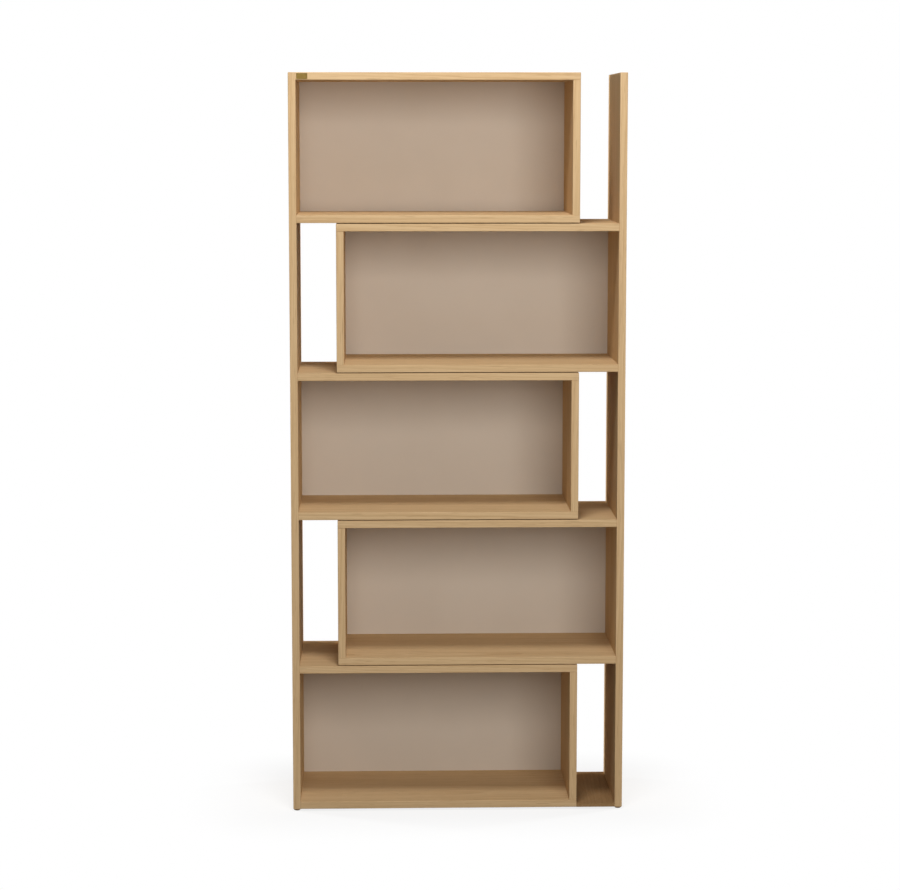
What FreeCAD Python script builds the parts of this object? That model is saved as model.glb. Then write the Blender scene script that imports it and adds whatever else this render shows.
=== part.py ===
import FreeCAD, Part
import os
import re
import Sketcher

# Staircase bookshelf: five shallow boxes stacked between two tall side panels.
# Boxes 1, 3 and 5, counted from the top, hang on the left side panel and boxes 2 and 4 on the right one,
# so an open slot is left beside each box, on the right of one and on the left of the next.
# Millimetres, +X to the viewer's right, +Y to the rear, +Z up, origin on the floor under the middle.

BOX_COUNT = 5
COUNTERSINK_ANGLE = 90
SAME_PLACE_SHARE = 1e-6

SIZES = {
    # The whole shelf
    "overall_width": 800,
    "overall_depth": 300,
    "board_thickness": 18,
    "clear_height": 317,
    "side_gap": 93,
    "box_reveal": 2,
    # Bands glued on the edges that show
    "band_thickness": 2,
    "band_radius": 1.5,
    "round_limit_share": 0.9,
    # Thin backs held in grooves
    "back_thickness": 3,
    "back_setback": 12,
    "groove_depth": 8,
    "groove_play": 0.2,
    "groove_slack": 0.5,
    # Thin board across the foot of the lowest slot
    "tie_thickness": 8,
    # Rows of fittings, and the room left round each fitted piece
    "fitting_inset": 50,
    "dowel_spacing": 32,
    "fit_clearance": 0.1,
    "depth_clearance": 0.5,
    # Wooden dowels
    "dowel_diameter": 8,
    "dowel_end_depth": 19,
    "dowel_face_depth": 11,
    "dowel_chamfer": 1,
    "tie_dowel_diameter": 5,
    "tie_dowel_end_depth": 14,
    "tie_dowel_face_depth": 10,
    "tie_dowel_chamfer": 0.6,
    # Cam locks
    "cam_diameter": 15,
    "cam_height": 13.5,
    "cam_distance": 34,
    "cam_mouth_diameter": 7.4,
    "cam_slot_length": 9,
    "cam_slot_width": 1.8,
    "cam_slot_depth": 3,
    # Cam bolts
    "bolt_bore_diameter": 8,
    "bolt_thread_diameter": 6,
    "bolt_thread_length": 11,
    "bolt_tip_chamfer": 1,
    "bolt_shank_diameter": 7,
    "bolt_neck_diameter": 4.6,
    "bolt_neck_length": 4,
    "bolt_head_diameter": 6.6,
    "bolt_head_length": 3,
    # Connector screws through the boards into the dividers' ends
    "connector_head_diameter": 10,
    "connector_shank_diameter": 7,
    "connector_thread_diameter": 5,
    "connector_bite": 32,
    "connector_point": 3,
    "connector_socket_width": 4,
    "connector_socket_depth": 3,
    # Screws and spacers that join one box to the next
    "joiner_head_diameter": 8,
    "joiner_shank_diameter": 4,
    "joiner_bite": 12,
    "joiner_point": 4,
    "joiner_inset": 70,
    "joiner_row_inset": 60,
    "joiner_slot_length": 4.4,
    "joiner_slot_width": 1,
    "joiner_slot_depth": 1.4,
    "spacer_diameter": 14,
    # Glides nailed under the side panels
    "glide_diameter": 16,
    "glide_height": 5,
    "glide_chamfer": 1.5,
    "glide_inset": 12,
    "nail_diameter": 2.2,
    "nail_length": 18,
    "nail_seat": 2.5,
    "nail_point": 2,
    # Blank plate on the front edge of the topmost board
    "plate_length": 26,
    "plate_height": 14,
    "plate_thickness": 0.6,
    "plate_corner": 0.8,
    "plate_offset": 2,
}

doc = FreeCAD.newDocument("staircase_bookshelf")
sheet = doc.addObject("Spreadsheet::Sheet", "Sizes")
for row, (alias, value) in enumerate(SIZES.items(), start=1):
    sheet.set(f"A{row}", alias)
    sheet.set(f"B{row}", str(value))
    sheet.setAlias(f"B{row}", alias)
doc.recompute()

# Sizes and places worked out from the sheet, as expressions
BOX_HEIGHT = "(clear_height + 2 * board_thickness)"
BOX_PITCH = f"({BOX_HEIGHT} + box_reveal)"
SIDE_HEIGHT = f"({BOX_COUNT} * {BOX_HEIGHT} + {BOX_COUNT - 1} * box_reveal)"
PANEL_LENGTH = "(overall_width - 2 * board_thickness - side_gap)"
CORE_LENGTH = f"({PANEL_LENGTH} - band_thickness)"
CORE_DEPTH = "(overall_depth - band_thickness)"
CLEAR_WIDTH = f"({PANEL_LENGTH} - board_thickness)"
GROOVE_FRONT = f"({CORE_DEPTH} - back_setback - back_thickness - groove_play)"
GROOVE_REAR = f"({CORE_DEPTH} - back_setback)"
BACK_REACH = "(groove_depth - groove_slack)"
EDGE_RADIUS = "min(band_radius; band_thickness * round_limit_share)"
FRONT = "-overall_depth / 2"
CORE_FRONT = "(band_thickness - overall_depth / 2)"
MID_BOARD = "board_thickness / 2"
MID_TIE = "tie_thickness / 2"
INNER_FACE = {
    "left": "(board_thickness - overall_width / 2)",
    "right": "(overall_width / 2 - board_thickness)",
}

# Rows of fittings, measured back from the front of the shelf
FITTING_ROWS = ("fitting_inset", "overall_depth - fitting_inset")
DOWEL_ROWS = ("fitting_inset + dowel_spacing", "overall_depth - fitting_inset - dowel_spacing")
JOINER_ROWS = ("joiner_row_inset", "overall_depth - joiner_row_inset")
GLIDE_ROWS = ("glide_inset", "overall_depth - glide_inset")
MIDDLE_ROW = "overall_depth / 2"
TIE_ROWS = DOWEL_ROWS

# Places of the screws between two boxes, measured from the side panel that the lower box hangs on
JOINER_DISTANCES = ("side_gap + joiner_inset", f"{PANEL_LENGTH} - joiner_inset")

# Room for the fitted pieces
DOWEL_HOLE = "dowel_diameter + fit_clearance"
DOWEL_FACE_HOLE_DEPTH = "dowel_face_depth + depth_clearance"
DOWEL_END_HOLE_DEPTH = "dowel_end_depth + depth_clearance"
TIE_DOWEL_HOLE = "tie_dowel_diameter + fit_clearance"
JOINER_HOLE = "joiner_shank_diameter + fit_clearance"

# Each face of a board: the origin plane to sketch on, how far the face lies along that plane's normal
# in terms of the board's own size, and whether a cut into the board runs along the normal
FACES = {
    "bottom": ("XY_Plane", None, True),
    "top": ("XY_Plane", "{2}", False),
    "left": ("YZ_Plane", None, True),
    "right": ("YZ_Plane", "{0}", False),
}
OPPOSITE = {"left": "right", "right": "left", "top": "bottom", "bottom": "top"}

# Turns of a fitting that is made along +Z, and of a cam that is made with its mouth to -X
QUARTER_TURN = 90
HALF_TURN = 180
FULL_TURN = 360
UPWARD = FreeCAD.Rotation()
DOWNWARD = FreeCAD.Rotation(FreeCAD.Vector(1, 0, 0), HALF_TURN)
INTO_SHELF = {
    "left": FreeCAD.Rotation(FreeCAD.Vector(0, 1, 0), QUARTER_TURN),
    "right": FreeCAD.Rotation(FreeCAD.Vector(0, 1, 0), -QUARTER_TURN),
}
MOUTH_TO_SIDE = {
    "left": FreeCAD.Rotation(),
    "right": FreeCAD.Rotation(FreeCAD.Vector(0, 0, 1), HALF_TURN),
}

nodes = []


def bind(thing, prop, text):
    """Tie a property to an expression in which the sheet's sizes are written by their plain names."""
    def sheet_name(word):
        return f"Sizes.{word.group()}" if word.group() in SIZES else word.group()
    thing.setExpression(prop, re.sub(r"[a-z]\w*", sheet_name, text))


def place(thing, x, y, z):
    """Tie a piece's place to three expressions."""
    for axis, text in zip("xyz", (x, y, z)):
        bind(thing, f"Placement.Base.{axis}", text)


def hold(sketch, geometry, point, u, v):
    """Hold a point of a sketch at the expressions u and v from the sketch's origin."""
    for kind, axis, text in (("DistanceX", -2, u), ("DistanceY", -1, v)):
        if text == "0":
            sketch.addConstraint(Sketcher.Constraint("PointOnObject", geometry, point, axis))
        else:
            index = sketch.addConstraint(Sketcher.Constraint(kind, -1, 1, geometry, point, 1.0))
            bind(sketch, f"Constraints[{index}]", text)


def add_polygon(sketch, corners):
    """Draw a closed line through corners that are pairs of expressions."""
    first = sketch.GeometryCount
    count = len(corners)
    unit = [FreeCAD.Vector(step, step * step, 0) for step in range(count)]
    for step in range(count):
        sketch.addGeometry(Part.LineSegment(unit[step], unit[(step + 1) % count]), False)
    for step, (u, v) in enumerate(corners):
        following = first + (step + 1) % count
        sketch.addConstraint(Sketcher.Constraint("Coincident", first + step, 2, following, 1))
        hold(sketch, first + step, 1, u, v)


def add_rectangle(sketch, low, high):
    """Draw a rectangle from its lowest to its highest corner."""
    add_polygon(sketch, [low, (high[0], low[1]), high, (low[0], high[1])])


def add_circle(sketch, centre, diameter):
    """Draw a circle of a bound diameter round a bound centre."""
    unit = Part.Circle(FreeCAD.Vector(1, 1, 0), FreeCAD.Vector(0, 0, 1), 1)
    circle = sketch.addGeometry(unit, False)
    hold(sketch, circle, 3, *centre)
    index = sketch.addConstraint(Sketcher.Constraint("Diameter", circle, 1.0))
    bind(sketch, f"Constraints[{index}]", diameter)


def sketch_on(body, role, offset=None):
    """Start a sketch on one of a body's origin planes, moved along its normal by an expression."""
    sketch = body.newObject("Sketcher::SketchObject", f"{body.Label}_sketch")
    plane = [feature for feature in body.Origin.OriginFeatures if feature.Role == role][0]
    sketch.AttachmentSupport = [(plane, "")]
    sketch.MapMode = "FlatFace"
    if offset:
        bind(sketch, "AttachmentOffset.Base.z", offset)
    return sketch


def cut(body, sketch, depth=None, along_normal=False):
    """Cut a sketch into a body to a depth, or right through where none is given."""
    pocket = body.newObject("PartDesign::Pocket", f"{body.Label}_cut")
    pocket.Profile = sketch
    pocket.Reversed = along_normal
    if depth:
        bind(pocket, "Length", depth)
    else:
        pocket.Type = "ThroughAll"


class Board:
    """A flat piece of a given size, its lowest corner on its body's origin."""

    def __init__(self, label, size, at):
        self.size = size
        self.body = doc.addObject("PartDesign::Body", label)
        place(self.body, *at)
        outline = sketch_on(self.body, "XY_Plane")
        add_rectangle(outline, ("0", "0"), size[:2])
        self.pad = self.body.newObject("PartDesign::Pad", f"{label}_pad")
        self.pad.Profile = outline
        bind(self.pad, "Length", size[2])

    def sketch(self, face):
        """Start a sketch on a face, and say whether a cut from it runs along its normal."""
        role, offset, along_normal = FACES[face]
        return sketch_on(self.body, role, offset and offset.format(*self.size)), along_normal

    def drill(self, face, centres, diameter, depth=None):
        """Drill holes of one size square into a face."""
        sketch, along_normal = self.sketch(face)
        for centre in centres:
            add_circle(sketch, centre, diameter)
        cut(self.body, sketch, depth, along_normal)

    def mill(self, face, rectangles, depth):
        """Mill rectangular grooves into a face."""
        sketch, along_normal = self.sketch(face)
        for low, high in rectangles:
            add_rectangle(sketch, low, high)
        cut(self.body, sketch, depth, along_normal)

    def countersink(self, face, centres, diameter, head_diameter):
        """Drill right through from a face and countersink the holes on it."""
        sketch, along_normal = self.sketch(face)
        for centre in centres:
            add_circle(sketch, centre, diameter)
        doc.recompute()
        hole = self.body.newObject("PartDesign::Hole", f"{self.body.Label}_hole")
        hole.Profile = sketch
        hole.Reversed = along_normal
        hole.ThreadType = "None"
        hole.DepthType = "ThroughAll"
        hole.HoleCutType = "Countersink"
        hole.HoleCutCustomValues = True
        hole.HoleCutCountersinkAngle = COUNTERSINK_ANGLE
        bind(hole, "Diameter", diameter)
        bind(hole, "HoleCutDiameter", head_diameter)

    def round_edges(self, radius, *pairs):
        """Round the edges where the named pairs of faces meet."""
        doc.recompute()
        box = self.pad.Shape.BoundBox
        near = box.DiagonalLength * SAME_PLACE_SHARE
        levels = {
            "left": ("x", box.XMin), "right": ("x", box.XMax),
            "front": ("y", box.YMin), "rear": ("y", box.YMax),
            "bottom": ("z", box.ZMin), "top": ("z", box.ZMax),
        }
        chosen = []
        for number, edge in enumerate(self.pad.Shape.Edges, start=1):
            middle = edge.CenterOfMass
            met = set()
            for face, (axis, level) in levels.items():
                if abs(getattr(middle, axis) - level) < near:
                    met.add(face)
            if met in [set(pair) for pair in pairs]:
                chosen.append(f"Edge{number}")
        fillet = self.body.newObject("PartDesign::Fillet", f"{self.body.Label}_fillet")
        fillet.Base = (self.pad, chosen)
        bind(fillet, "Radius", radius)


def turned(label, profile):
    """A piece turned about its own Z axis from a profile of radius and height corners."""
    body = doc.addObject("PartDesign::Body", label)
    sketch = sketch_on(body, "XZ_Plane")
    add_polygon(sketch, profile)
    revolution = body.newObject("PartDesign::Revolution", f"{label}_revolution")
    revolution.Profile = sketch
    revolution.ReferenceAxis = (sketch, ["V_Axis"])
    revolution.Angle = FULL_TURN
    return body


def add_cross(body, length, width, depth):
    """Sink a cross recess into the piece's lower face, where its driver goes in."""
    for across, along in ((length, width), (width, length)):
        sketch = sketch_on(body, "XY_Plane")
        add_rectangle(sketch, (f"-{across} / 2", f"-{along} / 2"), (f"{across} / 2", f"{along} / 2"))
        cut(body, sketch, depth, along_normal=True)


def gather(label, pieces):
    """Make one node of several separate solids."""
    group = doc.addObject("Part::Compound", label)
    group.Links = pieces
    nodes.append(group)


def repeat(label, piece, places):
    """Make one node of a piece repeated at places, each a turn and three expressions."""
    links = []
    for turn, x, y, z in places:
        link = doc.addObject("App::Link", f"{label}_copy")
        link.LinkedObject = piece
        link.Placement = FreeCAD.Placement(FreeCAD.Vector(), turn)
        place(link, x, y, z)
        links.append(link)
    gather(label, links)


def hand_of(box):
    """The side panel that a box hangs on."""
    return "left" if box % 2 else "right"


PANELS = [(box, level) for box in range(1, BOX_COUNT + 1) for level in ("top", "bottom")]
FAR_SIDE = OPPOSITE[hand_of(BOX_COUNT)]


def box_rise(box):
    """Height of a box's underside above the foot of the side panels."""
    return f"{BOX_COUNT - box} * {BOX_PITCH}"


def panel_rise(box, level):
    """Height of the underside of a box's top or bottom panel above the foot of the side panels."""
    return box_rise(box) if level == "bottom" else f"{box_rise(box)} + {BOX_HEIGHT} - board_thickness"


def panel_start(hand):
    """Place across the shelf of the left end of a box on that hand."""
    return INNER_FACE["left"] if hand == "left" else f"({INNER_FACE['right']} - {PANEL_LENGTH})"


def divider_start(hand):
    """Place across the shelf of the left face of a box's divider."""
    if hand == "left":
        return f"({panel_start(hand)} + {CLEAR_WIDTH})"
    return panel_start(hand)


def inward(hand, distance):
    """Place across the shelf at a distance from a side panel's inner face, towards the middle."""
    return f"{INNER_FACE[hand]} {'+' if hand == 'left' else '-'} ({distance})"


def from_side(hand, distance):
    """Place along a panel's core at a distance from its end on the side panel."""
    return distance if hand == "left" else f"{CORE_LENGTH} - ({distance})"


def core_row(row):
    """A row of fittings, measured back from the front of a board's core."""
    return f"{row} - band_thickness"


def core_row_points(across, rows):
    """Points on a flat board's upper or lower face, at one place along it and in several rows."""
    return [(across, core_row(row)) for row in rows]


def side_panel(hand):
    """A tall side panel, drilled and grooved for the boxes that hang on it."""
    start = "-overall_width / 2" if hand == "left" else INNER_FACE["right"]
    size = ("board_thickness", CORE_DEPTH, f"({SIDE_HEIGHT} - band_thickness)")
    board = Board(f"{hand}_side_panel", size, (start, CORE_FRONT, "glide_height"))
    inner = OPPOSITE[hand]
    boxes = [box for box in range(1, BOX_COUNT + 1) if hand_of(box) == hand]
    rises = [f"{panel_rise(box, level)} + {MID_BOARD}" for box in boxes for level in ("top", "bottom")]
    bolt_points = [(core_row(row), rise) for rise in rises for row in FITTING_ROWS]
    thread_hole = "bolt_thread_diameter + fit_clearance"
    board.drill(inner, bolt_points, thread_hole, "bolt_thread_length + depth_clearance")
    dowel_points = [(core_row(row), rise) for rise in rises for row in DOWEL_ROWS]
    board.drill(inner, dowel_points, DOWEL_HOLE, DOWEL_FACE_HOLE_DEPTH)
    grooves = []
    for box in boxes:
        floor = f"{box_rise(box)} + board_thickness - groove_depth"
        ceiling = f"{box_rise(box)} + board_thickness + clear_height + groove_depth"
        grooves.append(((GROOVE_FRONT, floor), (GROOVE_REAR, ceiling)))
    board.mill(inner, grooves, "groove_depth")
    nail_points = core_row_points(MID_BOARD, GLIDE_ROWS)
    board.drill("bottom", nail_points, "nail_diameter + fit_clearance", "nail_length + depth_clearance")
    if hand != hand_of(BOX_COUNT):
        tie_points = [(core_row(row), MID_TIE) for row in TIE_ROWS]
        board.drill(inner, tie_points, TIE_DOWEL_HOLE, "tie_dowel_face_depth + depth_clearance")
    nodes.append(board.body)


def side_bands(hand):
    """The bands on a side panel's front edge and top end."""
    start = "-overall_width / 2" if hand == "left" else INNER_FACE["right"]
    front_size = ("board_thickness", "band_thickness", SIDE_HEIGHT)
    front = Board(f"{hand}_side_front_band", front_size, (start, FRONT, "glide_height"))
    top_edges = (("top", "left"), ("top", "right"))
    front_edges = (("front", "left"), ("front", "right"), ("front", "top"))
    front.round_edges(EDGE_RADIUS, *front_edges, *top_edges)
    top_size = ("board_thickness", CORE_DEPTH, "band_thickness")
    top_rise = f"glide_height + {SIDE_HEIGHT} - band_thickness"
    top = Board(f"{hand}_side_top_band", top_size, (start, CORE_FRONT, top_rise))
    top.round_edges(EDGE_RADIUS, *top_edges)
    nodes.extend([front.body, top.body])


def box_panel(box, level):
    """The top or bottom panel of a box."""
    hand = hand_of(box)
    start = panel_start(hand) if hand == "left" else f"{panel_start(hand)} + band_thickness"
    at = (start, CORE_FRONT, f"glide_height + {panel_rise(box, level)}")
    board = Board(f"box_{box}_{level}_panel", (CORE_LENGTH, CORE_DEPTH, "board_thickness"), at)
    outer = level
    inner = OPPOSITE[level]
    # The end on the side panel: bolts with their cams, and dowels
    bolt_points = [(core_row(row), MID_BOARD) for row in FITTING_ROWS]
    board.drill(hand, bolt_points, "bolt_bore_diameter", "cam_distance")
    dowel_points = [(core_row(row), MID_BOARD) for row in DOWEL_ROWS]
    board.drill(hand, dowel_points, DOWEL_HOLE, DOWEL_END_HOLE_DEPTH)
    cam_points = core_row_points(from_side(hand, "cam_distance"), FITTING_ROWS)
    board.drill("bottom", cam_points, "cam_diameter + fit_clearance", "cam_height + fit_clearance")
    # The groove for the back stops inside the divider
    groove_ends = ["0", f"{CLEAR_WIDTH} + groove_depth"]
    if hand == "right":
        groove_ends = [f"{CORE_LENGTH} - ({groove_ends[1]})", CORE_LENGTH]
    board.mill(inner, [((groove_ends[0], GROOVE_FRONT), (groove_ends[1], GROOVE_REAR))], "groove_depth")
    # The end on the divider
    divider_line = from_side(hand, f"{CLEAR_WIDTH} + {MID_BOARD}")
    connector_points = core_row_points(divider_line, FITTING_ROWS)
    shank_hole = "connector_shank_diameter + fit_clearance"
    board.countersink(outer, connector_points, shank_hole, "connector_head_diameter + fit_clearance")
    board.drill(inner, core_row_points(divider_line, [MIDDLE_ROW]), DOWEL_HOLE, DOWEL_FACE_HOLE_DEPTH)
    # The screws to the next box
    joiner_points = []
    for distance in JOINER_DISTANCES:
        joiner_points += core_row_points(from_side(hand, distance), JOINER_ROWS)
    if level == "top" and box > 1:
        board.countersink("bottom", joiner_points, JOINER_HOLE, "joiner_head_diameter + fit_clearance")
    if level == "bottom" and box < BOX_COUNT:
        board.drill("bottom", joiner_points, JOINER_HOLE, "joiner_bite + depth_clearance")
    # The dowels of the thin board beside the lowest box
    if level == "bottom" and box == BOX_COUNT:
        tie_points = [(core_row(row), MID_TIE) for row in TIE_ROWS]
        depth = "tie_dowel_face_depth + depth_clearance - band_thickness"
        board.drill(OPPOSITE[hand], tie_points, TIE_DOWEL_HOLE, depth)
    nodes.append(board.body)


def box_divider(box):
    """The upright board that closes a box on the side of its slot."""
    hand = hand_of(box)
    at = (divider_start(hand), CORE_FRONT, f"glide_height + {box_rise(box)} + board_thickness")
    board = Board(f"box_{box}_divider", ("board_thickness", CORE_DEPTH, "clear_height"), at)
    board.mill(hand, [((GROOVE_FRONT, "0"), (GROOVE_REAR, "clear_height"))], "groove_depth")
    for end in ("top", "bottom"):
        connector_points = core_row_points(MID_BOARD, FITTING_ROWS)
        thread_hole = "connector_thread_diameter + fit_clearance"
        board.drill(end, connector_points, thread_hole, "connector_bite + depth_clearance")
        board.drill(end, core_row_points(MID_BOARD, [MIDDLE_ROW]), DOWEL_HOLE, DOWEL_END_HOLE_DEPTH)
    nodes.append(board.body)


def box_back(box):
    """The thin back of a box, let into grooves on all four sides."""
    hand = hand_of(box)
    left = INNER_FACE["left"] if hand == "left" else f"{INNER_FACE['right']} - {CLEAR_WIDTH}"
    rear = "overall_depth / 2 - back_setback - groove_play / 2"
    floor = f"glide_height + {box_rise(box)} + board_thickness"
    size = (f"{CLEAR_WIDTH} + 2 * {BACK_REACH}", "back_thickness", f"clear_height + 2 * {BACK_REACH}")
    at = (f"{left} - {BACK_REACH}", f"{rear} - back_thickness", f"{floor} - {BACK_REACH}")
    nodes.append(Board(f"box_{box}_back_panel", size, at).body)


def box_bands(box):
    """The bands on a box's front edges and on the free ends of its top and bottom panels."""
    hand = hand_of(box)
    free = OPPOSITE[hand]
    fronts = []
    ends = []
    for level in ("top", "bottom"):
        rise = f"glide_height + {panel_rise(box, level)}"
        front_size = (PANEL_LENGTH, "band_thickness", "board_thickness")
        front = Board(f"box_{box}_{level}_front_band", front_size, (panel_start(hand), FRONT, rise))
        end_edges = ((free, "top"), (free, "bottom"))
        front_edges = (("front", "top"), ("front", "bottom"), ("front", free))
        front.round_edges(EDGE_RADIUS, *front_edges, *end_edges)
        end_start = panel_start(hand) if hand == "right" else f"{panel_start(hand)} + {CORE_LENGTH}"
        end_size = ("band_thickness", CORE_DEPTH, "board_thickness")
        end = Board(f"box_{box}_{level}_end_band", end_size, (end_start, CORE_FRONT, rise))
        end.round_edges(EDGE_RADIUS, *end_edges)
        if level == "bottom" and box == BOX_COUNT:
            end.drill(free, [(core_row(row), MID_TIE) for row in TIE_ROWS], TIE_DOWEL_HOLE)
        fronts.append(front.body)
        ends.append(end.body)
    divider_size = ("board_thickness", "band_thickness", "clear_height")
    divider_at = (divider_start(hand), FRONT, f"glide_height + {box_rise(box)} + board_thickness")
    divider = Board(f"box_{box}_divider_front_band", divider_size, divider_at)
    divider.round_edges(EDGE_RADIUS, ("front", "left"), ("front", "right"))
    gather(f"box_{box}_front_bands", fronts)
    gather(f"box_{box}_end_bands", ends)
    nodes.append(divider.body)


def tie_start():
    """Place across the shelf of the thin board's left end."""
    return INNER_FACE["left"] if FAR_SIDE == "left" else f"{INNER_FACE['right']} - side_gap"


def base_tie():
    """The thin board that ties the lowest box's foot to the side panel across the slot."""
    size = ("side_gap", "overall_depth", "tie_thickness")
    board = Board("base_tie_board", size, (tie_start(), FRONT, "glide_height"))
    for end in ("left", "right"):
        points = [(row, MID_TIE) for row in TIE_ROWS]
        board.drill(end, points, TIE_DOWEL_HOLE, "tie_dowel_end_depth + depth_clearance")
    nodes.append(board.body)


def shelf_row(row):
    """A row of fittings in the shelf's own frame."""
    return f"{FRONT} + {row}"


def dowel(label, diameter, length, chamfer):
    """A plain dowel with chamfered ends."""
    narrow = f"{diameter} / 2 - {chamfer}"
    full = f"{diameter} / 2"
    profile = [("0", "0"), (narrow, "0"), (full, chamfer)]
    profile += [(full, f"{length} - {chamfer}"), (narrow, length), ("0", length)]
    return turned(label, profile)


def wooden_dowels():
    """Dowels from the panels' ends into the side panels, and from the dividers' ends into the panels."""
    piece = dowel("dowel", "dowel_diameter", "(dowel_face_depth + dowel_end_depth)", "dowel_chamfer")
    places = []
    for box, level in PANELS:
        hand = hand_of(box)
        rise = f"glide_height + {panel_rise(box, level)}"
        across = inward(hand, "-dowel_face_depth")
        places += [(INTO_SHELF[hand], across, shelf_row(row), f"{rise} + {MID_BOARD}") for row in DOWEL_ROWS]
        foot = "- dowel_end_depth" if level == "top" else "+ board_thickness - dowel_face_depth"
        divider_line = f"{divider_start(hand)} + {MID_BOARD}"
        places.append((UPWARD, divider_line, shelf_row(MIDDLE_ROW), f"{rise} {foot}"))
    repeat("wooden_dowels", piece, places)


def base_tie_dowels():
    """Thin dowels in both ends of the thin board."""
    length = "(tie_dowel_face_depth + tie_dowel_end_depth)"
    piece = dowel("tie_dowel", "tie_dowel_diameter", length, "tie_dowel_chamfer")
    places = []
    for row in TIE_ROWS:
        rise = f"glide_height + {MID_TIE}"
        from_panel = inward(FAR_SIDE, "-tie_dowel_face_depth")
        from_box = inward(FAR_SIDE, "side_gap + tie_dowel_face_depth")
        places.append((INTO_SHELF[FAR_SIDE], from_panel, shelf_row(row), rise))
        places.append((INTO_SHELF[OPPOSITE[FAR_SIDE]], from_box, shelf_row(row), rise))
    repeat("base_tie_dowels", piece, places)


def cam_locks():
    """Round cam locks sunk in the undersides of the panels, with a mouth for the bolt's head."""
    radius = "cam_diameter / 2"
    piece = turned("cam_lock", [("0", "0"), (radius, "0"), (radius, "cam_height"), ("0", "cam_height")])
    add_cross(piece, "cam_slot_length", "cam_slot_width", "cam_slot_depth")
    mouth = sketch_on(piece, "YZ_Plane", "bolt_head_length")
    add_circle(mouth, ("0", MID_BOARD), "cam_mouth_diameter")
    cut(piece, mouth)
    places = []
    for box, level in PANELS:
        hand = hand_of(box)
        rise = f"glide_height + {panel_rise(box, level)}"
        across = inward(hand, "cam_distance")
        places += [(MOUTH_TO_SIDE[hand], across, shelf_row(row), rise) for row in FITTING_ROWS]
    repeat("cam_locks", piece, places)


def cam_bolts():
    """Bolts screwed into the side panels, whose heads the cams draw in."""
    end = "(bolt_thread_length + cam_distance)"
    head_start = f"({end} - bolt_head_length)"
    neck_start = f"({head_start} - bolt_neck_length)"
    profile = [
        ("0", "0"),
        ("bolt_thread_diameter / 2 - bolt_tip_chamfer", "0"),
        ("bolt_thread_diameter / 2", "bolt_tip_chamfer"),
        ("bolt_thread_diameter / 2", "bolt_thread_length"),
        ("bolt_shank_diameter / 2", "bolt_thread_length"),
        ("bolt_shank_diameter / 2", neck_start),
        ("bolt_neck_diameter / 2", neck_start),
        ("bolt_neck_diameter / 2", head_start),
        ("bolt_head_diameter / 2", head_start),
        ("bolt_head_diameter / 2", end),
        ("0", end),
    ]
    piece = turned("cam_bolt", profile)
    places = []
    for box, level in PANELS:
        hand = hand_of(box)
        rise = f"glide_height + {panel_rise(box, level)} + {MID_BOARD}"
        across = inward(hand, "-bolt_thread_length")
        places += [(INTO_SHELF[hand], across, shelf_row(row), rise) for row in FITTING_ROWS]
    repeat("cam_bolts", piece, places)


def connector_screws():
    """Countersunk screws through the top and bottom panels into the dividers' ends."""
    length = "(board_thickness + connector_bite)"
    profile = [
        ("0", "0"),
        ("connector_head_diameter / 2", "0"),
        ("connector_shank_diameter / 2", "(connector_head_diameter - connector_shank_diameter) / 2"),
        ("connector_shank_diameter / 2", "board_thickness"),
        ("connector_thread_diameter / 2", "board_thickness"),
        ("connector_thread_diameter / 2", f"{length} - connector_point"),
        ("0", length),
    ]
    piece = turned("connector_screw", profile)
    socket = sketch_on(piece, "XY_Plane")
    corner = "connector_socket_width / sqrt(3)"
    half_corner = f"{corner} / 2"
    flat = "connector_socket_width / 2"
    right_half = [(half_corner, f"-{flat}"), (corner, "0"), (half_corner, flat)]
    left_half = [(f"-{half_corner}", flat), (f"-{corner}", "0"), (f"-{half_corner}", f"-{flat}")]
    add_polygon(socket, right_half + left_half)
    cut(piece, socket, "connector_socket_depth", along_normal=True)
    places = []
    for box, level in PANELS:
        divider_line = f"{divider_start(hand_of(box))} + {MID_BOARD}"
        rise = f"glide_height + {panel_rise(box, level)}"
        turn, head_rise = (DOWNWARD, f"{rise} + board_thickness") if level == "top" else (UPWARD, rise)
        places += [(turn, divider_line, shelf_row(row), head_rise) for row in FITTING_ROWS]
    repeat("connector_screws", piece, places)


def joiner_places(rise_above):
    """Places of the screws between boxes, at a height above the underside of each lower box's top panel."""
    places = []
    for box in range(2, BOX_COUNT + 1):
        rise = f"glide_height + {panel_rise(box, 'top')} + {rise_above}"
        for distance in JOINER_DISTANCES:
            across = inward(hand_of(box), distance)
            places += [(UPWARD, across, shelf_row(row), rise) for row in JOINER_ROWS]
    return places


def box_joining_screws():
    """Countersunk wood screws from each lower box's ceiling up into the floor of the box above."""
    length = "(board_thickness + box_reveal + joiner_bite)"
    profile = [
        ("0", "0"),
        ("joiner_head_diameter / 2", "0"),
        ("joiner_shank_diameter / 2", "(joiner_head_diameter - joiner_shank_diameter) / 2"),
        ("joiner_shank_diameter / 2", f"{length} - joiner_point"),
        ("0", length),
    ]
    piece = turned("joining_screw", profile)
    add_cross(piece, "joiner_slot_length", "joiner_slot_width", "joiner_slot_depth")
    repeat("box_joining_screws", piece, joiner_places("0"))


def box_spacers():
    """Washers round the joining screws, which keep the shadow line between two boxes."""
    inner = f"({JOINER_HOLE}) / 2"
    outer = "spacer_diameter / 2"
    profile = [(inner, "0"), (outer, "0"), (outer, "box_reveal"), (inner, "box_reveal")]
    repeat("box_spacers", turned("box_spacer", profile), joiner_places("board_thickness"))


def glide_places(rise):
    """Places of the glides under both side panels."""
    middles = [inward(hand, f"-{MID_BOARD}") for hand in ("left", "right")]
    return [(UPWARD, middle, shelf_row(row), rise) for middle in middles for row in GLIDE_ROWS]


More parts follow.
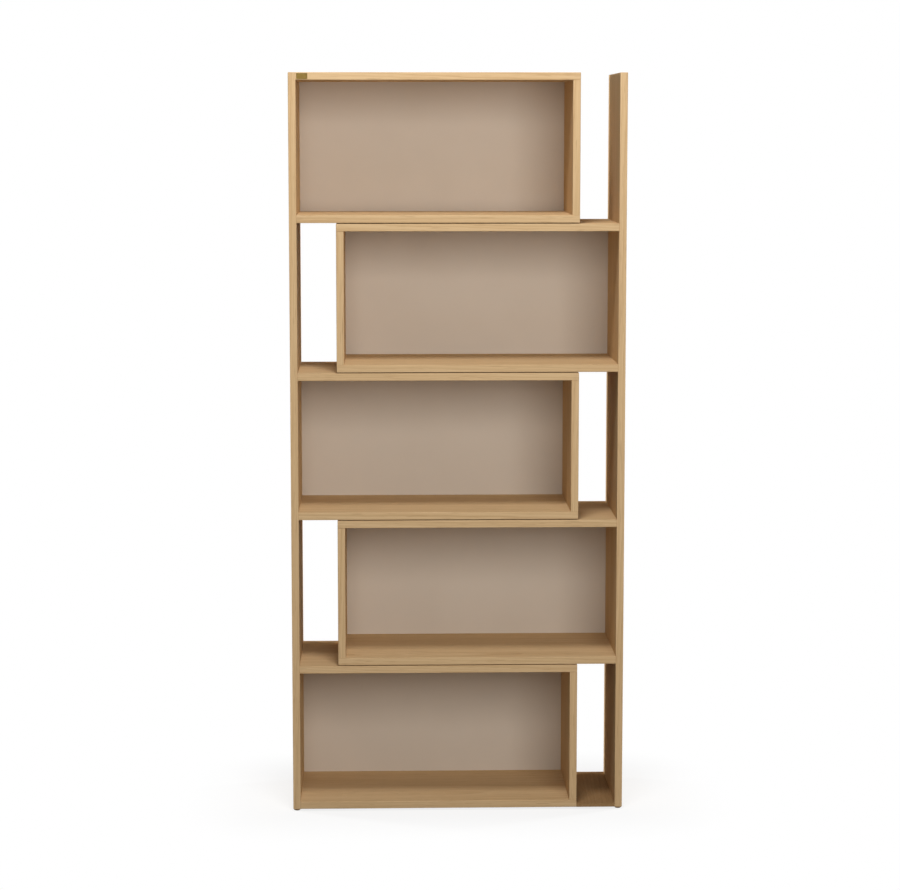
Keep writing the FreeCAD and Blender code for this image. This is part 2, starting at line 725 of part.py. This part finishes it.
def floor_glides():
    """Round plastic glides under the side panels."""
    radius = "glide_diameter / 2"
    bore = "(nail_diameter + fit_clearance) / 2"
    seat = "glide_height - nail_seat"
    profile = [("0", "0"), (f"{radius} - glide_chamfer", "0"), (radius, "glide_chamfer")]
    profile += [(radius, "glide_height"), (bore, "glide_height"), (bore, seat), ("0", seat)]
    repeat("floor_glides", turned("floor_glide", profile), glide_places("0"))


def glide_nails():
    """The nails that hold the glides in the side panels' lower ends."""
    radius = "nail_diameter / 2"
    length = "(nail_seat + nail_length)"
    profile = [("0", "0"), (radius, "0"), (radius, f"{length} - nail_point"), ("0", length)]
    repeat("glide_nails", turned("glide_nail", profile), glide_places("glide_height - nail_seat"))


def blank_plate():
    """A small bare metal plate on the front edge of the topmost board."""
    rise = f"glide_height + {SIDE_HEIGHT} - {MID_BOARD} - plate_height / 2"
    at = (f"{INNER_FACE['left']} + plate_offset", f"{FRONT} - plate_thickness", rise)
    plate = Board("blank_plate", ("plate_length", "plate_thickness", "plate_height"), at)
    corners = [(side, end) for side in ("left", "right") for end in ("top", "bottom")]
    plate.round_edges("plate_corner", *corners)
    nodes.append(plate.body)


for side in ("left", "right"):
    side_panel(side)
    side_bands(side)
for number in range(1, BOX_COUNT + 1):
    box_panel(number, "top")
    box_panel(number, "bottom")
    box_divider(number)
    box_back(number)
    box_bands(number)
base_tie()
wooden_dowels()
base_tie_dowels()
cam_locks()
cam_bolts()
connector_screws()
box_joining_screws()
box_spacers()
floor_glides()
glide_nails()
blank_plate()
doc.recompute()

# Nothing is written unless every feature worked, every cut removed material and every piece is sound
for thing in doc.Objects:
    if "Invalid" in thing.State or "Error" in thing.State:
        raise RuntimeError(f"{thing.Label} failed: {thing.State}")
    if thing.TypeId in ("PartDesign::Pocket", "PartDesign::Hole"):
        if thing.Shape.Volume >= thing.BaseFeature.Shape.Volume:
            raise RuntimeError(f"{thing.Label} cut nothing")
for node in nodes:
    if node.Shape.isNull() or not node.Shape.isValid():
        raise RuntimeError(f"{node.Label} has no sound shape")
os.makedirs("parts", exist_ok=True)
for node in nodes:
    node.Shape.exportStep(f"parts/{node.Label}.step")
    print(node.Label, len(node.Shape.Solids), "solids,", round(node.Shape.Volume), "cubic mm")
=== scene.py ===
import math

import bpy
from mathutils import Color, Euler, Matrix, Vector


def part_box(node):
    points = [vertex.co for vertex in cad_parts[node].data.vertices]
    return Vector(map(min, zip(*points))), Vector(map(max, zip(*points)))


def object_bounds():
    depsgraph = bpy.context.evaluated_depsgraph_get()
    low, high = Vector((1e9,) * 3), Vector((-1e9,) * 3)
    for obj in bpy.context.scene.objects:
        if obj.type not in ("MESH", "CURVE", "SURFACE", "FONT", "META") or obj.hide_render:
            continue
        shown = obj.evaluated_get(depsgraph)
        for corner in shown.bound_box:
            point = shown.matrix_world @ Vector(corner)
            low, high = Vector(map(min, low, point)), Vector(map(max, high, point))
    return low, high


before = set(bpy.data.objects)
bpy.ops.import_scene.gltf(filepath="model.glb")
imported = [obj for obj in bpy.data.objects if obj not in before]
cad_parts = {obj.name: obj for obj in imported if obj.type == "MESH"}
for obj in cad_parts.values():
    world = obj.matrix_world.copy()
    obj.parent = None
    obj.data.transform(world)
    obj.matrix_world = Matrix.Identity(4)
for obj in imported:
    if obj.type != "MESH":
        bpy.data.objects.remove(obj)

solid_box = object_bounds()

# Side panels: two tall boards of coated chipboard with a light oak print, the grain running up the board.
# They reach from the glides to the top, and the boxes are bolted and dowelled to their inner faces.
MIX_FACTOR = 0
MIX_FIRST = 6
MIX_SECOND = 7
MIX_RESULT = 2


class Wire:
    """One socket of a node tree. Arithmetic on wires and numbers adds Math nodes to that tree."""

    def __init__(self, socket):
        self.socket = socket
        self.tree = socket.id_data

    def node(self, kind, settings, sockets, output=0):
        """Add a node: first its settings, then its sockets' values or links. Gives one of its outputs."""
        added = self.tree.nodes.new(kind)
        for name, value in settings.items():
            setattr(added, name, value)
        for name, value in sockets.items():
            self.join(value, added.inputs[name])
        return Wire(added.outputs[output])

    def join(self, value, socket):
        """Link a wire to a socket, or write a plain value into it."""
        if isinstance(value, Wire):
            self.tree.links.new(value.socket, socket)
        else:
            socket.default_value = value

    def math(self, operation, *values):
        """One Math node on wires or numbers."""
        return self.node("ShaderNodeMath", {"operation": operation}, dict(enumerate(values)))

    def __add__(self, other):
        return self.math("ADD", self, other)

    def __sub__(self, other):
        return self.math("SUBTRACT", self, other)

    def __rsub__(self, other):
        return self.math("SUBTRACT", other, self)

    def __mul__(self, other):
        return self.math("MULTIPLY", self, other)

    def __truediv__(self, other):
        return self.math("DIVIDE", self, other)

    def __pow__(self, other):
        return self.math("POWER", self, other)

    __radd__ = __add__
    __rmul__ = __mul__

    def length(self, other):
        """The long side of a right-angled triangle whose short sides are this wire and another."""
        return self.math("SQRT", self * self + other * other)

    def rise(self, low, high):
        """0 below the low value, 1 above the high one and a smooth step between them."""
        sockets = {"Value": self, "From Min": low, "From Max": high}
        return self.node("ShaderNodeMapRange", {"interpolation_type": "SMOOTHSTEP"}, sockets)

    def parts(self):
        """The three parts of a vector."""
        return [self.node("ShaderNodeSeparateXYZ", {}, {"Vector": self}, axis) for axis in "XYZ"]

    def stack(self, x, y, z):
        """A vector of three wires or numbers."""
        return self.node("ShaderNodeCombineXYZ", {}, {"X": x, "Y": y, "Z": z})

    def noise(self, cell, detail, number):
        """Noise of about 0 to 1 at the place that this vector gives, with the cell's length along each axis.
        Each number gives another pattern."""
        cells = self.node("ShaderNodeVectorMath", {"operation": "DIVIDE"}, {0: self, 1: cell})
        sockets = {"Vector": cells, "W": number, "Scale": 1.0, "Detail": detail}
        return self.node("ShaderNodeTexNoise", {"noise_dimensions": "4D"}, sockets)

    def tint(self, first, second):
        """The first colour where this wire is 0, the second where it is 1. A Mix node's sockets for colours
        go by number, because those for plain values have the same names."""
        sockets = {MIX_FACTOR: self, MIX_FIRST: first, MIX_SECOND: second}
        return self.node("ShaderNodeMix", {"data_type": "RGBA"}, sockets, MIX_RESULT)


FULL_TONE = 255
OPAQUE = 1.0


def colour(red, green, blue):
    """A colour given as it shows on a screen, 0 to 255, turned to the linear light that shaders take."""
    shown = Color((red, green, blue)) / FULL_TONE
    return (*shown.from_srgb_to_scene_linear(), OPAQUE)


def start_finish(name):
    """A new material with its Principled shader, and the Object coordinates as a wire."""
    material = bpy.data.materials.new(name)
    material.use_nodes = True
    shader = material.node_tree.nodes["Principled BSDF"]
    place = Wire(shader.outputs[0]).node("ShaderNodeTexCoord", {}, {}, "Object")
    return material, shader, place


def finish_surface(shader, tone, roughness, height, relief):
    """Feed a shader its colour and roughness, and a bump as high as the relief where the height is 1."""
    tone.join(tone, shader.inputs["Base Color"])
    tone.join(roughness, shader.inputs["Roughness"])
    bump = tone.node("ShaderNodeBump", {}, {"Height": height, "Distance": relief})
    tone.join(bump, shader.inputs["Normal"])


def dress(node, material):
    """Put a material into a CAD node's only slot."""
    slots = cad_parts[node].data.materials
    slots.clear()
    slots.append(material)


GRAIN_TURN = {"x": (0, 0, 0), "y": (0, 0, -math.pi / 2), "z": (0, math.pi / 2, 0)}
LIGHT_OAK = {
    "pale": colour(216, 185, 142),
    "warm": colour(200, 166, 122),
    "late": colour(172, 134, 92),
    "pore": colour(140, 103, 66),
}
OAK_GLOSS = 0.01
OAK_ROUGHNESS = 0.7
PORE_ROUGHNESS = 0.1
PORE_DEPTH = 0.00006
FIBRE_HEIGHT_SHARE = 0.4
WAVER_CELL = (0.77, 0.33, 0.33)
WAVER_DETAIL = 4.0
WAVER_HEIGHT = 0.05
PITH_RISE_SHARE = 0.018
RING_WIDTH = 0.0065
RING_DRIFT = 1.5
LATE_SHARPNESS = 4
STREAK_CELL = (0.0048, 1.25, 1.0)
STREAK_DETAIL = 3.0
DRIFT_CELL = (0.03, 0.9, 1.0)
DRIFT_DETAIL = 2.0
PORE_CELL = (0.042, 0.0017, 0.0017)
FIBRE_CELL = (0.14, 0.0007, 0.0007)
LINE_DETAIL = 1.0
LATE_LEVELS = (0.3, 0.6)
PORE_LEVELS = (0.58, 0.7)
TONE_LEVELS = (0.34, 0.66)
NOISE_MIDDLE = 0.5
PORE_LATE_SHARE = 0.6
STREAK_SHARE = 0.4
DRIFT_SHARE = 0.3
FIBRE_SHARE = 0.3
LATE_SHARE = 0.4
PORE_SHARE = 0.35
oak_boards = []


def oak(node, grain, pith_across, pith_below, tones=LIGHT_OAK):
    """Oak print, different on each board: u runs along the grain, v across it and w through the board.
    Rings are distances from the pith, a line under the board that rises along the grain and wavers, so they
    draw long arches. Streaks are noise that changes fast across the rings and slowly along them. Each ring
    ends in a darker line. Pores are short dark dashes and fibres fine lines along the grain."""
    material, shader, place = start_finish(f"{node}_oak")
    oak_boards.append(node)
    number = len(oak_boards)
    low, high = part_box(node)
    middle = Euler(GRAIN_TURN[grain]).to_matrix() @ ((low + high) / 2)
    mapping = {"Location": Vector((0, pith_across, pith_below)) - middle, "Rotation": GRAIN_TURN[grain]}
    board = place.node("ShaderNodeMapping", {}, {"Vector": place, **mapping})
    u, v, w = board.parts()
    waver = board.noise(WAVER_CELL, WAVER_DETAIL, number) - NOISE_MIDDLE
    rings = v.length(w + u * PITH_RISE_SHARE + waver * WAVER_HEIGHT)
    unrolled = place.stack(rings, u, 0.0)
    streaks = unrolled.noise(STREAK_CELL, STREAK_DETAIL, number)
    drift = unrolled.noise(DRIFT_CELL, DRIFT_DETAIL, number)
    ring = place.math("FRACT", rings / RING_WIDTH + drift * RING_DRIFT)
    late = ring ** LATE_SHARPNESS * streaks.rise(*LATE_LEVELS)
    pores = board.noise(PORE_CELL, LINE_DETAIL, number).rise(*PORE_LEVELS) * (1 - ring * PORE_LATE_SHARE)
    fibres = board.noise(FIBRE_CELL, LINE_DETAIL, number)
    warmth = (streaks * STREAK_SHARE + drift * DRIFT_SHARE + fibres * FIBRE_SHARE).rise(*TONE_LEVELS)
    tone = warmth.tint(tones["pale"], tones["warm"])
    tone = (late * LATE_SHARE).tint(tone, tones["late"])
    tone = (pores * PORE_SHARE).tint(tone, tones["pore"])
    shader.inputs["Specular IOR Level"].default_value = OAK_GLOSS
    roughness = pores * PORE_ROUGHNESS + OAK_ROUGHNESS
    finish_surface(shader, tone, roughness, fibres * FIBRE_HEIGHT_SHARE - pores, PORE_DEPTH)
    dress(node, material)


PANEL_PITHS = {"left": (0.05, 0.05), "right": (-0.07, 0.06)}
for side, pith in PANEL_PITHS.items():
    oak(f"{side}_side_panel", "z", *pith)

# Bands of the side panels: oak-printed strips glued on the front edge and the top end of each panel.
# Their long edges are rounded off after gluing, and the print runs along the strip.
BAND_PITH = (0.08, 0.08)
for side in PANEL_PITHS:
    oak(f"{side}_side_front_band", "z", *BAND_PITH)
    oak(f"{side}_side_top_band", "y", *BAND_PITH)

# Boxes: top and bottom panels that run over the ends of an upright divider, all of the same coated board.
# Screws and dowels hold the divider, and cam locks and dowels hold the panels to one side panel. The grain
# runs along each board, so it lies across in the panels and stands in the divider.
BOX_COUNT = 5
BOXES = range(1, BOX_COUNT + 1)
BOX_GRAINS = {"top_panel": "x", "bottom_panel": "x", "divider": "z"}
GOLDEN_SHARE = 0.618034
MIDDLE_SHARE = 0.5
PITH_SPREAD = 0.3
PITH_BELOW = 0.06
for box in BOXES:
    for piece, grain in BOX_GRAINS.items():
        pith_share = len(oak_boards) * GOLDEN_SHARE % 1 - MIDDLE_SHARE
        oak(f"box_{box}_{piece}", grain, PITH_SPREAD * pith_share, PITH_BELOW)

# Bands of the boxes: oak-printed strips on the front edges of all boards and on the panels' free ends.
# They are glued on and rounded like those of the side panels.
BAND_GRAINS = {"front_bands": "x", "end_bands": "y", "divider_front_band": "z"}
for box in BOXES:
    for piece, grain in BAND_GRAINS.items():
        oak(f"box_{box}_{piece}", grain, *BAND_PITH)

# Foot board: a thin strip of board across the foot of the lowest slot, held by small dowels.
# Its oak print is darker and browner than the rest, as painted shade of the deep slot it lies in. The print
# runs to the front and goes over the edge without a glued band.
SLOT_SHADE_OAK = {
    "pale": colour(161, 128, 89),
    "warm": colour(149, 116, 78),
    "late": colour(131, 99, 64),
    "pore": colour(106, 78, 50),
}
FOOT_PITH = (0.06, 0.05)
# The foot board takes the darker tones, which are painted shade.
oak("base_tie_board", "y", *FOOT_PITH, SLOT_SHADE_OAK)

# Backs: thin fibreboards lacquered in one plain taupe, slid into grooves round each box.
# The lacquer is satin, with slight clouds of tone and a fine peel from the roller.
BROAD_DETAIL = 3.0
FINE_DETAIL = 2.0
PLAIN_GLOSS = 0.5


def mottled(name, tones, roughness, broad, broad_share, fine, relief, metal=0.0, gloss=PLAIN_GLOSS):
    """A finish of two tones: noise of a broad and a fine cell, added by their shares, mixes the tones and
    the two roughnesses, and the fine noise alone raises the surface."""
    material, shader, place = start_finish(name)
    grit = place.noise(fine, FINE_DETAIL, 0)
    clouds = place.noise(broad, BROAD_DETAIL, 1)
    mix = (clouds * broad_share + grit * (1 - broad_share)).rise(*TONE_LEVELS)
    smooth, rough = roughness
    shader.inputs["Metallic"].default_value = metal
    shader.inputs["Specular IOR Level"].default_value = gloss
    finish_surface(shader, mix.tint(*tones), mix * (rough - smooth) + smooth, grit, relief)
    return material


TAUPE = (colour(211, 197, 180), colour(208, 194, 177))
TAUPE_ROUGHNESS = (0.5, 0.6)
TAUPE_GLOSS = 0.08
CLOUD_CELL = (0.17, 0.17, 0.17)
CLOUD_SHARE = 0.8
PEEL_CELL = (0.0014, 0.0014, 0.0014)
PEEL_HEIGHT = 0.00002
taupe = mottled("taupe_lacquer", TAUPE, TAUPE_ROUGHNESS, CLOUD_CELL, CLOUD_SHARE, PEEL_CELL, PEEL_HEIGHT,
                gloss=TAUPE_GLOSS)
for box in BOXES:
    dress(f"box_{box}_back_panel", taupe)

# Dowels: turned beech pins glued into the boards' ends, and thinner ones that hold the foot board.
# Plain pale wood with fine straight grain and a few darker flecks.
BEECH = (colour(214, 176, 134), colour(178, 132, 90))
BEECH_ROUGHNESS = (0.6, 0.7)
GRAIN_CELL = (0.02, 0.003, 0.003)
GRAIN_SHARE = 0.5
FLECK_CELL = (0.005, 0.0011, 0.0011)
FLECK_DEPTH = 0.00004
beech = mottled("turned_beech", BEECH, BEECH_ROUGHNESS, GRAIN_CELL, GRAIN_SHARE, FLECK_CELL, FLECK_DEPTH)
for group in ("wooden_dowels", "base_tie_dowels"):
    dress(group, beech)

# Cam locks: die-cast zinc drums sunk in the undersides of the panels, each with a cross slot.
# The metal is dull and slightly pitted, as it comes from the mould.
METAL = 1.0
ZINC = (colour(176, 176, 172), colour(132, 132, 130))
ZINC_ROUGHNESS = (0.35, 0.6)
STAIN_CELL = (0.004, 0.004, 0.004)
STAIN_SHARE = 0.5
PIT_CELL = (0.0007, 0.0007, 0.0007)
PIT_DEPTH = 0.00006
zinc = mottled("cast_zinc", ZINC, ZINC_ROUGHNESS, STAIN_CELL, STAIN_SHARE, PIT_CELL, PIT_DEPTH, METAL)
dress("cam_locks", zinc)

# Bolts, screws and nails: rolled and turned steel that draws the boards together.
# A thin zinc plating with a yellowish cast covers it, worn a little duller in places.
STEEL = (colour(206, 200, 184), colour(170, 164, 150))
STEEL_ROUGHNESS = (0.25, 0.45)
WEAR_CELL = (0.0025, 0.0025, 0.0025)
WEAR_SHARE = 0.7
PLATING_CELL = (0.0003, 0.0003, 0.0003)
PLATING_HEIGHT = 0.00001
steel = mottled("plated_steel", STEEL, STEEL_ROUGHNESS, WEAR_CELL, WEAR_SHARE, PLATING_CELL, PLATING_HEIGHT,
                METAL)
for group in ("cam_bolts", "connector_screws", "box_joining_screws", "glide_nails"):
    dress(group, steel)

# Spacers and glides: small brown pieces moulded in plastic. The spacers are pressed between the boxes,
# and the glides are nailed on under the side panels.
# The mould leaves a fine matt texture, rubbed paler in places.
PLASTIC = (colour(116, 91, 60), colour(138, 111, 77))
PLASTIC_ROUGHNESS = (0.45, 0.6)
RUB_CELL = (0.008, 0.008, 0.008)
RUB_SHARE = 0.7
MOULD_CELL = (0.0004, 0.0004, 0.0004)
MOULD_HEIGHT = 0.00002
plastic = mottled("brown_plastic", PLASTIC, PLASTIC_ROUGHNESS, RUB_CELL, RUB_SHARE, MOULD_CELL, MOULD_HEIGHT)
for group in ("box_spacers", "floor_glides"):
    dress(group, plastic)

# Plate: a small bare sheet of brass stuck on the front edge of the topmost board, near its left end.
# It is brushed lengthways and has darkened with time.
BRASS = (colour(112, 92, 48), colour(92, 74, 38))
BRASS_ROUGHNESS = (0.5, 0.6)
TARNISH_CELL = (0.01, 0.01, 0.01)
TARNISH_SHARE = 0.3
BRUSH_CELL = (0.017, 0.017, 0.00017)
BRUSH_DEPTH = 0.00001
brass = mottled("brushed_brass", BRASS, BRASS_ROUGHNESS, TARNISH_CELL, TARNISH_SHARE, BRUSH_CELL, BRUSH_DEPTH,
                METAL)
dress("blank_plate", brass)

# Floor: plain studio paper, far larger than the shelf, that throws back as little light as grey paper does.
# The camera sees it white, and close to the foot it also shows a faint shadow.
FLOOR_REACH = 8.0
FLOOR_DROP = 0.0005
FLOOR_GREY = (0.3, 0.3, 0.3, OPAQUE)
FLOOR_ROUGHNESS = 1.0
FLOOR_GLOSS = 0.0
WHITE = (1.0, 1.0, 1.0, OPAQUE)
WHITE_GLOW = 1.0
SHADOW_REACH = 0.3
SHADOW_SHARE = 0.2
FLOOR_ENDS = (-FLOOR_REACH, FLOOR_REACH)
floor_corners = [(x, y, -FLOOR_DROP) for x in FLOOR_ENDS for y in FLOOR_ENDS]
floor_mesh = bpy.data.meshes.new("studio_floor")
floor_mesh.from_pydata(floor_corners, [], [(0, 2, 3, 1)])
floor = bpy.data.objects.new("studio_floor", floor_mesh)
bpy.context.scene.collection.objects.link(floor)
white, shader, place = start_finish("studio_white")


def outside(along, half):
    """How far a place lies outside a strip of a given half width."""
    return along.math("MAXIMUM", along.math("ABSOLUTE", along) - half, 0.0)


def seen(wire):
    """1 for rays from the camera, and for those that gloss or glass sends on, else 0."""
    names = ("Is Camera Ray", "Is Glossy Ray", "Is Transmission Ray")
    camera, gloss, glass = [wire.node("ShaderNodeLightPath", {}, {}, name) for name in names]
    return wire.math("MAXIMUM", wire.math("MAXIMUM", camera, gloss), glass)


x, y = place.parts()[:2]
x_gap, y_gap = outside(x, solid_box[1].x), outside(y, solid_box[1].y)
near = 1 - x_gap.length(y_gap).rise(0.0, SHADOW_REACH)
place.join(seen(place).tint(FLOOR_GREY, WHITE), shader.inputs["Base Color"])
shader.inputs["Roughness"].default_value = FLOOR_ROUGHNESS
shader.inputs["Specular IOR Level"].default_value = FLOOR_GLOSS
glow = place.node("ShaderNodeEmission", {}, {"Color": WHITE, "Strength": WHITE_GLOW})
lit = Wire(shader.outputs[0])
whiteness = seen(place) * (1 - near * SHADOW_SHARE)
shown = place.node("ShaderNodeMixShader", {}, {0: whiteness, 1: lit, 2: glow})
shown.join(shown, white.node_tree.nodes["Material Output"].inputs["Surface"])
floor_mesh.materials.append(white)

# Light: a broad panel in front, a little to the right, and a small one high up before the top.
# One stands at either side and a little behind, so that it lights the sides and the backs, and the white
# room adds a faint light from all around.
ROOM_LIGHT = 0.03
world = bpy.data.worlds.new("white_studio")
world.use_nodes = True
sky = world.node_tree.nodes["Background"]
sky.inputs["Color"].default_value = WHITE
strength = seen(Wire(sky.outputs[0])) * (WHITE_GLOW - ROOM_LIGHT) + ROOM_LIGHT
strength.join(strength, sky.inputs["Strength"])
bpy.context.scene.world = world

LAMP_AIM = (0.0, 0.0, 0.9)
LAMPS = {
    "front_panel": {"place": (0.6, -4.2, 2.1), "width": 3.0, "height": 2.2, "power": 113},
    "top_panel": {"place": (-0.1, -1.12, 3.2), "width": 0.5, "height": 0.5, "power": 32},
    "left_panel": {"place": (-3.8, 1.4, 1.2), "width": 0.5, "height": 2.0, "power": 118},
    "right_panel": {"place": (3.8, 1.4, 1.2), "width": 0.5, "height": 2.0, "power": 118},
}


def soft_panel(name, place, width, height, power):
    """A rectangular lamp at a place, turned to the middle of the shelf."""
    lamp = bpy.data.lights.new(name, "AREA")
    lamp.shape = "RECTANGLE"
    lamp.size, lamp.size_y = width, height
    lamp.energy = power
    panel = bpy.data.objects.new(name, lamp)
    panel.location = place
    panel.rotation_euler = (Vector(LAMP_AIM) - Vector(place)).to_track_quat("-Z", "Y").to_euler()
    bpy.context.scene.collection.objects.link(panel)


for name, lamp in LAMPS.items():
    soft_panel(name, **lamp)

# Camera: at a standing person's eye height, six metres off and a little left of the middle.
# Its long lens is tilted down only as far as keeps the whole shelf in the picture.
EYE_PLACE = (-0.186, -6.03, 1.656)
LENS_LENGTH = 99.24
LENS_SHIFT_SHARE = -0.02
LOOK_DOWN = math.radians(6.95)
LOOK_RIGHT = math.radians(1.624)
lens = bpy.data.cameras.new("eye")
lens.lens = LENS_LENGTH
lens.shift_y = LENS_SHIFT_SHARE
eye = bpy.data.objects.new("eye", lens)
eye.location = EYE_PLACE
eye.rotation_euler = (math.pi / 2 - LOOK_DOWN, 0, -LOOK_RIGHT)
bpy.context.scene.collection.objects.link(eye)
bpy.context.scene.camera = eye
bpy.context.scene.view_settings.view_transform = "Standard"
